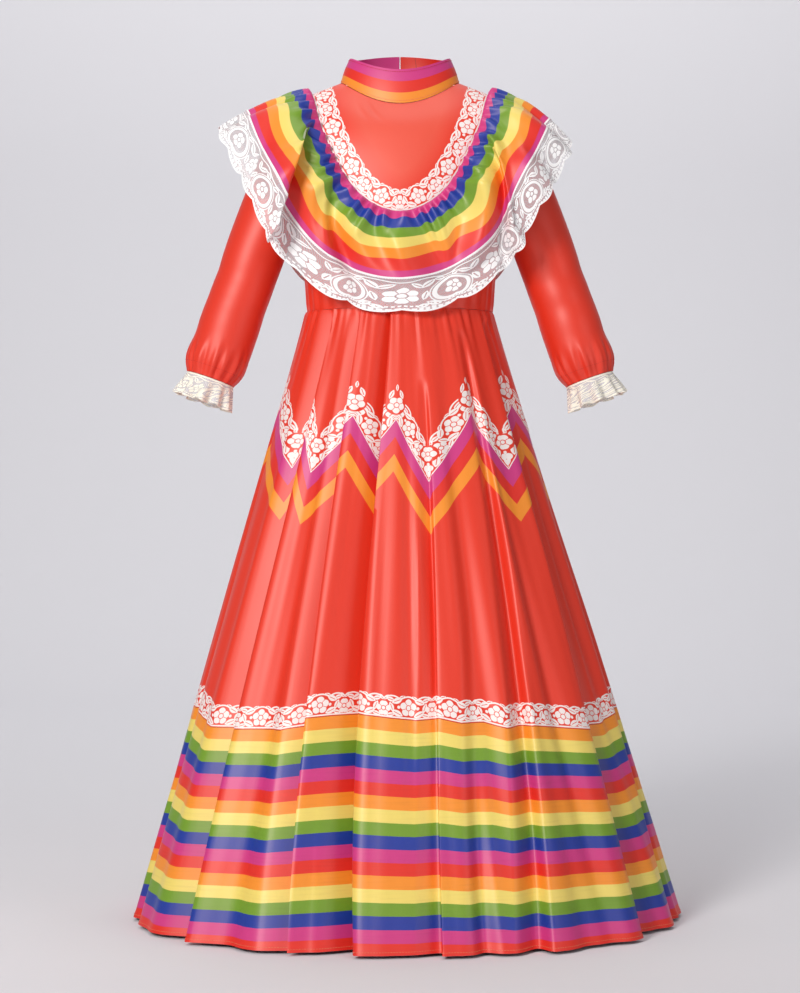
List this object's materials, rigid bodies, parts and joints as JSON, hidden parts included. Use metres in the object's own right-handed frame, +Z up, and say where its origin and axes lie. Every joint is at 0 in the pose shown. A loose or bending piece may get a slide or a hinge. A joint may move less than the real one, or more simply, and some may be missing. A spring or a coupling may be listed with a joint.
{
  "type": "mexican dress",
  "caption": "Long folk dress in worn shape: stand collar, gathered flounce edged with lace, long sleeves with lace cuffs, flared skirt with a striped hem band.",
  "frame": {"origin": "level with the base of the neck at its sides, on the centre line, where the wearer's shoulders carry the dress", "axes": "+Z up, the dress's front faces -Y, the wearer's left is +X"},
  "size_m": [0.6962, 0.6224, 1.1141],
  "materials": {
    "red_satin": "red-orange polyester satin with printed floral bands, soft sheen",
    "striped_satin": "polyester satin printed with rainbow stripes, soft sheen",
    "white_lace": "white raschel lace, matt, fine net",
    "cream_lace": "cream raschel lace, matt, fine net"
  },
  "bodies": {
    "root": {"collar": "striped_satin", "bodice_front": "red_satin", "bodice_back_left": "red_satin", "bodice_back_right": "red_satin", "sleeve_left": "red_satin", "sleeve_right": "red_satin", "cuff_lace_left": "cream_lace", "cuff_lace_right": "cream_lace", "flounce": "striped_satin", "flounce_lace": "white_lace", "skirt_front": "red_satin", "skirt_back": "red_satin", "hem_band_front": "striped_satin", "hem_band_back": "striped_satin"}
  },
  "joints": []
}
